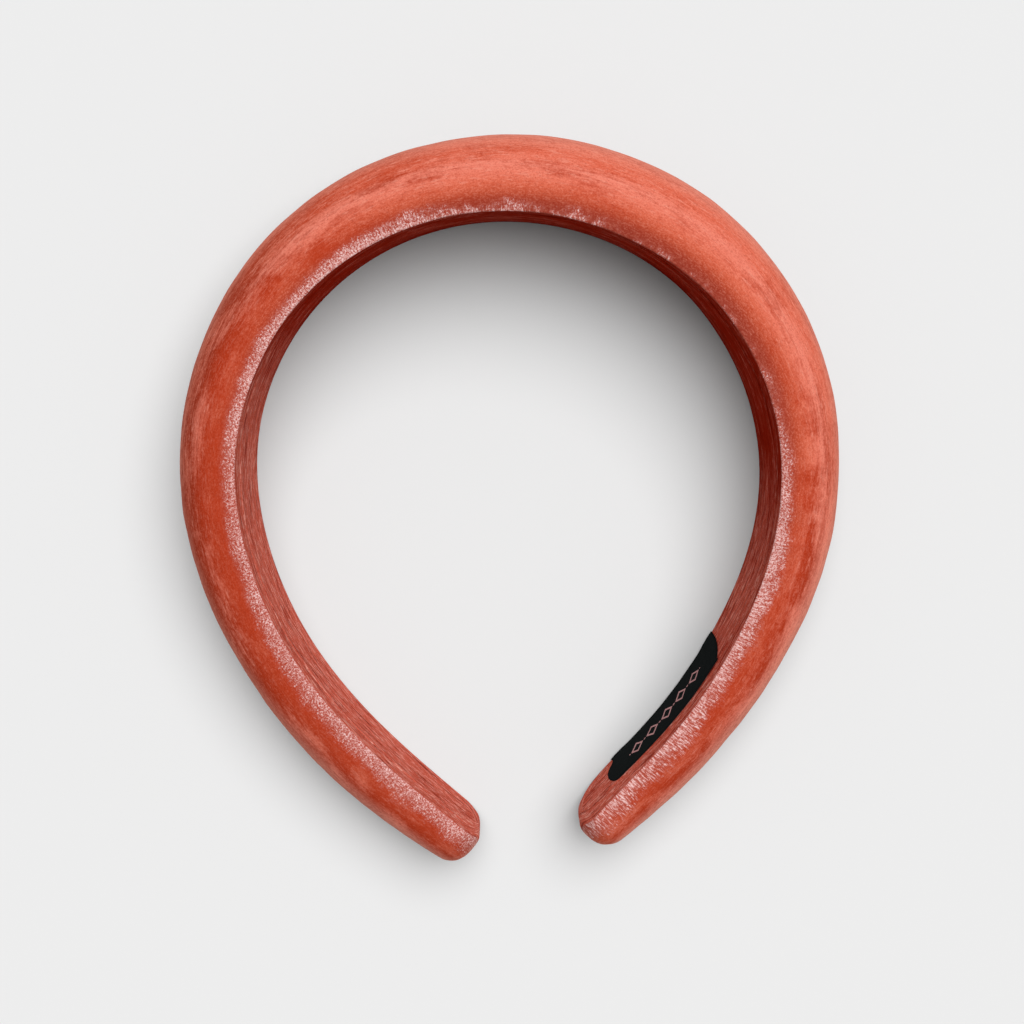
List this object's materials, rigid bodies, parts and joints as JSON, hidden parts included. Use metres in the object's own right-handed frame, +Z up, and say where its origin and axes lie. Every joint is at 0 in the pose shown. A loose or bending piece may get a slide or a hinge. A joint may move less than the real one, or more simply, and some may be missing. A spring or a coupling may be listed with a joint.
{
  "type": "padded headband",
  "caption": "Padded velvet headband: a springy plastic hoop in a domed foam pad, velvet cover and lining, open ends and a small woven label inside one leg.",
  "frame": {"origin": "middle of the band's bounding box in plan, on the flat surface that the band lies on", "axes": "+Z up from that surface, +Y from the open ends towards the crown, +X towards the leg that holds the label"},
  "size_m": [0.1494, 0.1644, 0.0366],
  "materials": {
    "velvet": "short coral-red velvet pile with a pale frosted sheen along the edges",
    "velvet_lining": "flat velvet strip, nap running along the band",
    "foam": "soft open-cell polyurethane foam",
    "hoop_plastic": "plain moulded springy plastic",
    "label_satin": "black damask-woven label with a plain woven diamond row"
  },
  "bodies": {
    "crown": {"core_hoop_crown": "hoop_plastic", "foam_pad_crown": "foam", "velvet_cover_crown": "velvet", "velvet_lining_crown": "velvet_lining"},
    "left_shoulder": {"core_hoop_left_shoulder": "hoop_plastic", "foam_pad_left_shoulder": "foam", "velvet_cover_left_shoulder": "velvet", "velvet_lining_left_shoulder": "velvet_lining"},
    "left_leg": {"core_hoop_left_leg": "hoop_plastic", "foam_pad_left_leg": "foam", "velvet_cover_left_leg": "velvet", "velvet_lining_left_leg": "velvet_lining"},
    "right_shoulder": {"core_hoop_right_shoulder": "hoop_plastic", "foam_pad_right_shoulder": "foam", "velvet_cover_right_shoulder": "velvet", "velvet_lining_right_shoulder": "velvet_lining"},
    "right_leg": {"core_hoop_right_leg": "hoop_plastic", "foam_pad_right_leg": "foam", "velvet_cover_right_leg": "velvet", "velvet_lining_right_leg": "velvet_lining", "woven_label": "label_satin"}
  },
  "joints": [
    {"name": "left_flex_upper", "type": "hinge", "parent": "crown", "child": "left_shoulder", "pos_m": [-0.0242, 0.0619, 0.01796], "axis": [0, 0.0494, -0.9988], "range_deg": [-2.4, 11], "stiffness_Nm_per_rad": 2.2},
    {"name": "left_flex_lower", "type": "hinge", "parent": "left_shoulder", "child": "left_leg", "pos_m": [-0.05637, 0.03117, 0.01644], "axis": [0, 0.0494, -0.9988], "range_deg": [-2.16, 9.9], "stiffness_Nm_per_rad": 1.7},
    {"name": "right_flex_upper", "type": "hinge", "parent": "crown", "child": "right_shoulder", "pos_m": [0.0242, 0.0619, 0.01796], "axis": [0, -0.0494, 0.9988], "range_deg": [-2.4, 11], "stiffness_Nm_per_rad": 2.2},
    {"name": "right_flex_lower", "type": "hinge", "parent": "right_shoulder", "child": "right_leg", "pos_m": [0.05637, 0.03117, 0.01644], "axis": [0, -0.0494, 0.9988], "range_deg": [-2.16, 9.9], "stiffness_Nm_per_rad": 1.7}
  ],
  "couplings": [
    {"joint": "left_flex_lower", "follows": "left_flex_upper", "ratio": 0.9},
    {"joint": "right_flex_lower", "follows": "right_flex_upper", "ratio": 0.9}
  ]
}
